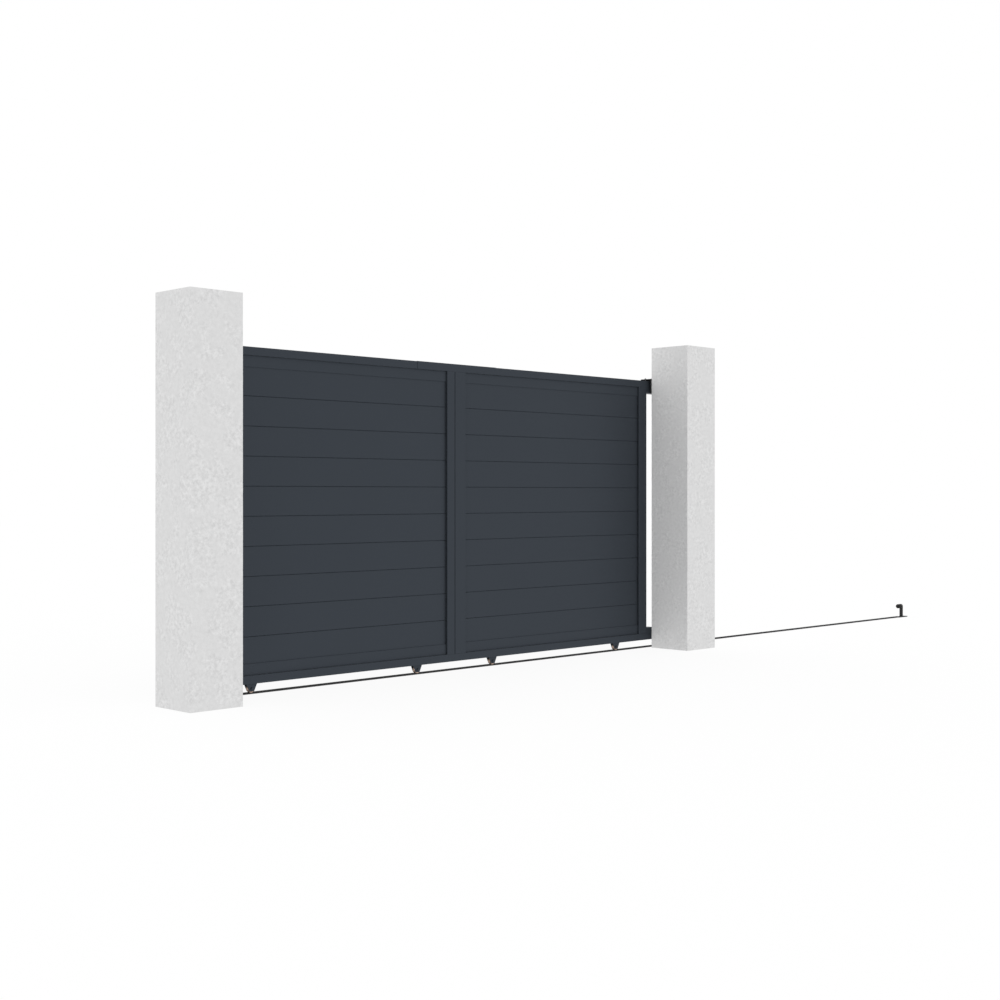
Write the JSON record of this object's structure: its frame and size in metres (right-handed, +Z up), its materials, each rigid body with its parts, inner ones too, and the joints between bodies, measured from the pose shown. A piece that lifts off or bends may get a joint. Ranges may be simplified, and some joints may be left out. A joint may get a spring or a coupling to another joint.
{
  "type": "sliding driveway gate",
  "caption": "Closed-board metal sliding gate on a ground rail, with grooved wheels, a top guide and an end stop, behind two square rendered pillars.",
  "frame": {"origin": "centre of the left pillar's foot, on the ground", "axes": "+X along the gate towards the side it opens to, +Y from the street into the drive, +Z up"},
  "size_m": [7.224, 0.388, 2],
  "materials": {
    "plaster": "matte",
    "powder_coat": "satin",
    "dark_steel": "satin",
    "zinc_steel": "satin",
    "wheel_steel": "satin",
    "rubber": "matte",
    "nylon": "matte"
  },
  "bodies": {
    "root": {"left_pillar": "plaster", "right_pillar": "plaster", "ground_rail_left": "dark_steel", "ground_rail_right": "dark_steel", "end_stop": "dark_steel", "stop_buffer": "rubber", "guide_bracket": "dark_steel", "guide_pins": "zinc_steel", "guide_rollers": "nylon", "catch_bracket": "dark_steel", "catch_pad": "rubber"},
    "leaf": {"top_rail_left": "powder_coat", "top_rail_right": "powder_coat", "top_splice": "powder_coat", "bottom_rail_left": "powder_coat", "bottom_rail_right": "powder_coat", "end_stile_left": "powder_coat", "seam_stile_left": "powder_coat", "seam_stile_right": "powder_coat", "end_stile_right": "powder_coat", "bottom_infill_rail_left": "powder_coat", "bottom_infill_rail_right": "powder_coat", "top_infill_rail_left": "powder_coat", "top_infill_rail_right": "powder_coat", "slat_row_01": "powder_coat", "slat_row_02": "powder_coat", "slat_row_03": "powder_coat", "slat_row_04": "powder_coat", "slat_row_05": "powder_coat", "slat_row_06": "powder_coat", "slat_row_07": "powder_coat", "slat_row_08": "powder_coat", "slat_row_09": "powder_coat", "slat_row_10": "powder_coat", "top_tail": "powder_coat", "stop_nose": "powder_coat", "wheel_carrier_1": "powder_coat", "wheel_carrier_2": "powder_coat", "wheel_carrier_3": "powder_coat", "wheel_carrier_4": "powder_coat", "wheel_axles": "dark_steel"},
    "wheel_1": {"wheel_1": "wheel_steel"},
    "wheel_2": {"wheel_2": "wheel_steel"},
    "wheel_3": {"wheel_3": "wheel_steel"},
    "wheel_4": {"wheel_4": "wheel_steel"}
  },
  "joints": [
    {"name": "leaf_slide", "type": "slide", "parent": "root", "child": "leaf", "axis": [1, 0, 0], "range_m": [0, 3.256]},
    {"name": "wheel_1_spin", "type": "hinge", "parent": "leaf", "child": "wheel_1", "pos_m": [0.438, 0.194, 0.0275], "axis": [0, 1, 0], "range_deg": [0, 11600]},
    {"name": "wheel_2_spin", "type": "hinge", "parent": "leaf", "child": "wheel_2", "pos_m": [1.581, 0.194, 0.0275], "axis": [0, 1, 0], "range_deg": [0, 11600]},
    {"name": "wheel_3_spin", "type": "hinge", "parent": "leaf", "child": "wheel_3", "pos_m": [2.1853, 0.194, 0.0275], "axis": [0, 1, 0], "range_deg": [0, 11600]},
    {"name": "wheel_4_spin", "type": "hinge", "parent": "leaf", "child": "wheel_4", "pos_m": [3.324, 0.194, 0.0275], "axis": [0, 1, 0], "range_deg": [0, 11600]}
  ],
  "couplings": [
    {"joint": "wheel_1_spin", "follows": "leaf_slide", "rad_per_m": 61.728},
    {"joint": "wheel_2_spin", "follows": "leaf_slide", "rad_per_m": 61.728},
    {"joint": "wheel_3_spin", "follows": "leaf_slide", "rad_per_m": 61.728},
    {"joint": "wheel_4_spin", "follows": "leaf_slide", "rad_per_m": 61.728}
  ]
}
